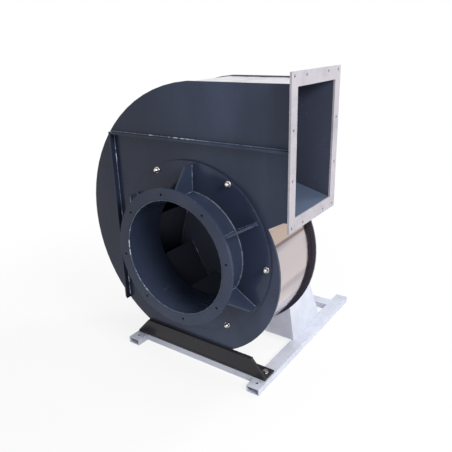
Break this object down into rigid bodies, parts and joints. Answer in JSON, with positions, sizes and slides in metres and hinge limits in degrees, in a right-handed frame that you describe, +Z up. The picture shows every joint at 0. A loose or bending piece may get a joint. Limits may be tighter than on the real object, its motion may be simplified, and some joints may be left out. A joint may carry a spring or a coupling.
{
  "type": "centrifugal fan",
  "caption": "Chemical-resistant centrifugal fan: plastic scroll casing with a round flanged inlet and a rectangular outlet, driven by a foot-mounted motor on a steel base.",
  "frame": {"origin": "centre of the inlet flange's front face, on the shaft's axis", "axes": "+Y along the shaft from the inlet towards the motor, +X towards the outlet, +Z up"},
  "size_m": [0.8734, 0.828, 1.055],
  "materials": {
    "casing_plastic": "gloss",
    "dark_plastic": "gloss",
    "impeller_plastic": "satin",
    "lining_plastic": "gloss",
    "sheet_metal": "bright",
    "flange_paint": "satin",
    "frame_paint": "satin",
    "stainless": "bright",
    "steel": "satin",
    "motor_paint": "satin",
    "copper": "satin",
    "rubber": "matte"
  },
  "bodies": {
    "casing": {"inlet_flange": "casing_plastic", "inlet_pipe": "casing_plastic", "inlet_gussets": "casing_plastic", "inlet_cover": "casing_plastic", "cover_gasket": "rubber", "cover_studs": "stainless", "cover_washers": "stainless", "cover_nuts": "stainless", "front_plate": "casing_plastic", "scroll_lining": "lining_plastic", "scroll_sheet": "sheet_metal", "back_plate": "dark_plastic", "front_rib_level": "casing_plastic", "front_rib_upright": "casing_plastic", "back_rib_level": "casing_plastic", "back_rib_upright": "casing_plastic", "outlet_flange": "flange_paint", "front_foot_web": "dark_plastic", "front_foot_base": "dark_plastic", "foot_bolts": "stainless", "left_rail": "frame_paint", "right_rail": "frame_paint", "front_cross_tube": "frame_paint", "rear_cross_tube": "frame_paint", "pedestal_front_wall": "frame_paint", "pedestal_rear_wall": "frame_paint", "pedestal_left_wall": "frame_paint", "pedestal_right_wall": "frame_paint", "motor_seat": "frame_paint", "back_ring": "steel", "ring_bolts": "stainless", "shaft_seal": "rubber", "motor_frame": "motor_paint", "motor_flange_shield": "motor_paint", "motor_rear_shield": "motor_paint", "motor_fan_cowl": "motor_paint", "cowl_screws": "steel", "stator_core": "steel", "stator_windings": "copper", "front_bearing": "steel", "rear_bearing": "steel", "terminal_box": "motor_paint", "terminal_box_lid": "motor_paint", "terminal_lid_screws": "steel", "cable_gland": "dark_plastic", "lifting_eye": "steel", "motor_flange_bolts": "steel", "motor_foot_bolts": "steel"},
    "rotor": {"motor_shaft": "steel", "rotor_core": "steel", "motor_cooling_fan": "dark_plastic", "shaft_key": "steel", "impeller_hub": "steel", "hub_bolts": "stainless", "shaft_end_bolt": "stainless", "impeller_back_disc": "impeller_plastic", "impeller_blades": "impeller_plastic", "impeller_shroud": "impeller_plastic", "impeller_nose_cap": "impeller_plastic"}
  },
  "joints": [
    {"name": "impeller_spin", "type": "hinge", "parent": "casing", "child": "rotor", "pos_m": [0, 0.36, 0], "axis": [0, 1, 0], "continuous": true}
  ]
}
